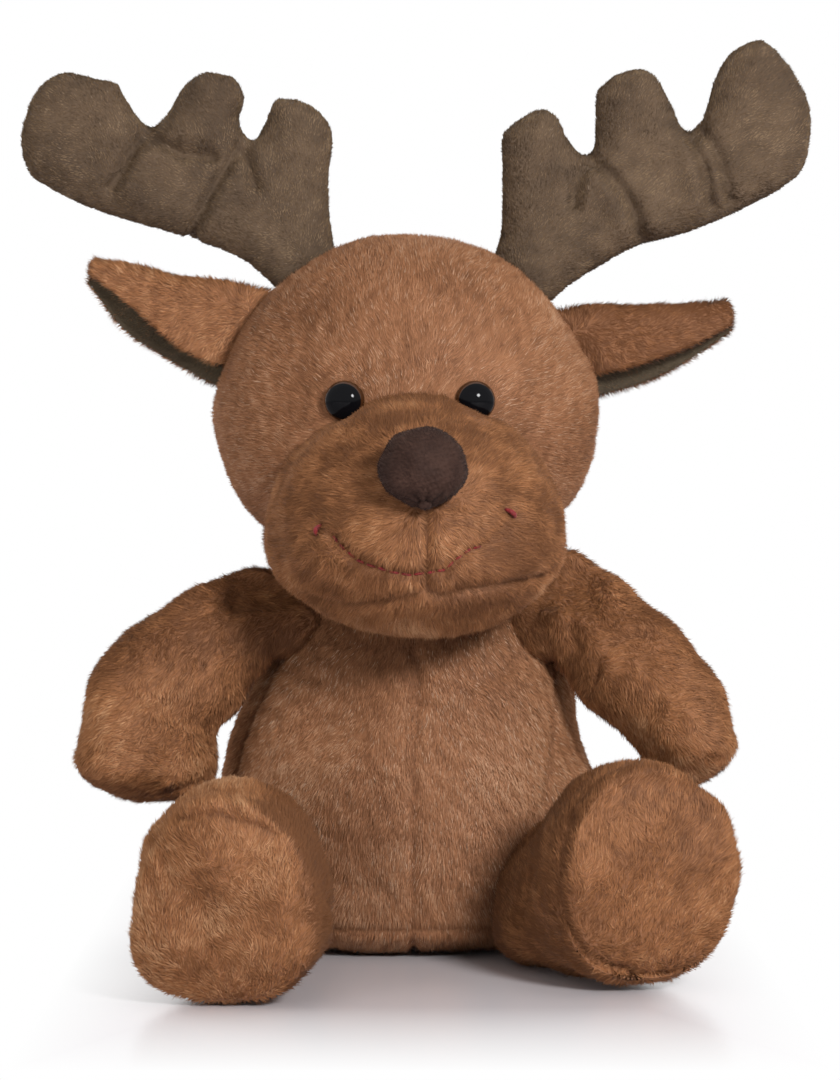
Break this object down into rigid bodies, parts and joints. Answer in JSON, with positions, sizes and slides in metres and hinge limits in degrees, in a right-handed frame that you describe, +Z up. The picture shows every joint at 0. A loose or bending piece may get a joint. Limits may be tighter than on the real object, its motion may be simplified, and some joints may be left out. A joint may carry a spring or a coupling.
{
  "type": "plush deer",
  "caption": "Small sitting plush deer with a big muzzle, a ball nose, upright antlers, short ears, soft mitten arms and splayed legs with oval soles.",
  "frame": {"origin": "on the floor under the middle of the seat", "axes": "+Z up, -Y the way the deer looks, +X to the right as seen from the front"},
  "size_m": [0.2451, 0.1896, 0.2798],
  "materials": {
    "fur": "brown plush pile, about 3 mm",
    "nap": "taupe short-nap fleece",
    "lining": "dark brown short-nap lining",
    "knit": "fine knitted cover",
    "eye_plastic": "polished black",
    "cotton": "plain woven cotton",
    "washer_plastic": "moulded, off-white",
    "thread": "twisted embroidery thread",
    "fibre": "loose polyester fibre"
  },
  "bodies": {
    "body": {"body_front_left": "fur", "body_front_right": "fur", "body_back_left": "fur", "body_back_right": "fur", "body_base": "fur", "body_stuffing": "fibre", "bean_pouch": "cotton"},
    "neck": {"neck_stuffing": "fibre"},
    "head": {"head_face": "fur", "head_back_left": "fur", "head_back_right": "fur", "head_stuffing": "fibre", "muzzle_left": "fur", "muzzle_right": "fur", "chin": "fur", "muzzle_stuffing": "fibre", "nose_cover": "knit", "nose_stuffing": "fibre", "eye_left": "eye_plastic", "eye_right": "eye_plastic", "eye_washer_left": "washer_plastic", "eye_washer_right": "washer_plastic", "smile_thread": "thread"},
    "ear_left": {"ear_fur_left": "fur", "ear_lining_left": "lining"},
    "ear_right": {"ear_fur_right": "fur", "ear_lining_right": "lining"},
    "antler_left": {"antler_front_left": "nap", "antler_back_left": "nap", "antler_stuffing_left": "fibre"},
    "antler_right": {"antler_front_right": "nap", "antler_back_right": "nap", "antler_stuffing_right": "fibre"},
    "arm_left": {"arm_front_left": "fur", "arm_back_left": "fur", "arm_stuffing_left": "fibre"},
    "arm_right": {"arm_front_right": "fur", "arm_back_right": "fur", "arm_stuffing_right": "fibre"},
    "leg_left": {"leg_left": "fur", "foot_sole_left": "fur", "leg_stuffing_left": "fibre"},
    "leg_right": {"leg_right": "fur", "foot_sole_right": "fur", "leg_stuffing_right": "fibre"}
  },
  "joints": [
    {"name": "head_turn", "type": "hinge", "parent": "body", "child": "neck", "pos_m": [0, 0, 0.112], "axis": [0, 0, 1], "range_deg": [-12, 12], "stiffness_Nm_per_rad": 0.5},
    {"name": "head_nod", "type": "hinge", "parent": "neck", "child": "head", "pos_m": [0, 0, 0.112], "axis": [1, 0, 0], "range_deg": [-6, 6], "stiffness_Nm_per_rad": 3},
    {"name": "arm_left_lift", "type": "hinge", "parent": "body", "child": "arm_left", "pos_m": [-0.03729, -0.01819, 0.1005], "axis": [0, 1, 0], "range_deg": [0, 30], "stiffness_Nm_per_rad": 0.3},
    {"name": "arm_right_lift", "type": "hinge", "parent": "body", "child": "arm_right", "pos_m": [0.03721, -0.01815, 0.1005], "axis": [0, -1, 0], "range_deg": [0, 30], "stiffness_Nm_per_rad": 0.3},
    {"name": "leg_left_lift", "type": "hinge", "parent": "body", "child": "leg_left", "pos_m": [-0.04469, -0.03491, 0.024], "axis": [-1, 0, 0], "range_deg": [0, 22], "stiffness_Nm_per_rad": 0.6},
    {"name": "leg_right_lift", "type": "hinge", "parent": "body", "child": "leg_right", "pos_m": [0.04468, -0.03491, 0.024], "axis": [-1, 0, 0], "range_deg": [0, 22], "stiffness_Nm_per_rad": 0.6},
    {"name": "ear_left_flap", "type": "hinge", "parent": "head", "child": "ear_left", "pos_m": [-0.05258, 0.002, 0.19381], "axis": [0.5509, 0, 0.8346], "range_deg": [-15, 15], "stiffness_Nm_per_rad": 0.2},
    {"name": "ear_right_flap", "type": "hinge", "parent": "head", "child": "ear_right", "pos_m": [0.05123, 0.002, 0.18889], "axis": [0.5509, 0, -0.8346], "range_deg": [-15, 15], "stiffness_Nm_per_rad": 0.2},
    {"name": "antler_left_flex", "type": "hinge", "parent": "head", "child": "antler_left", "pos_m": [-0.03686, 0.002, 0.21339], "axis": [0.7542, 0, 0.6566], "range_deg": [-12, 12], "stiffness_Nm_per_rad": 0.5},
    {"name": "antler_right_flex", "type": "hinge", "parent": "head", "child": "antler_right", "pos_m": [0.03644, 0.002, 0.20974], "axis": [0.7542, 0, -0.6566], "range_deg": [-12, 12], "stiffness_Nm_per_rad": 0.5}
  ]
}
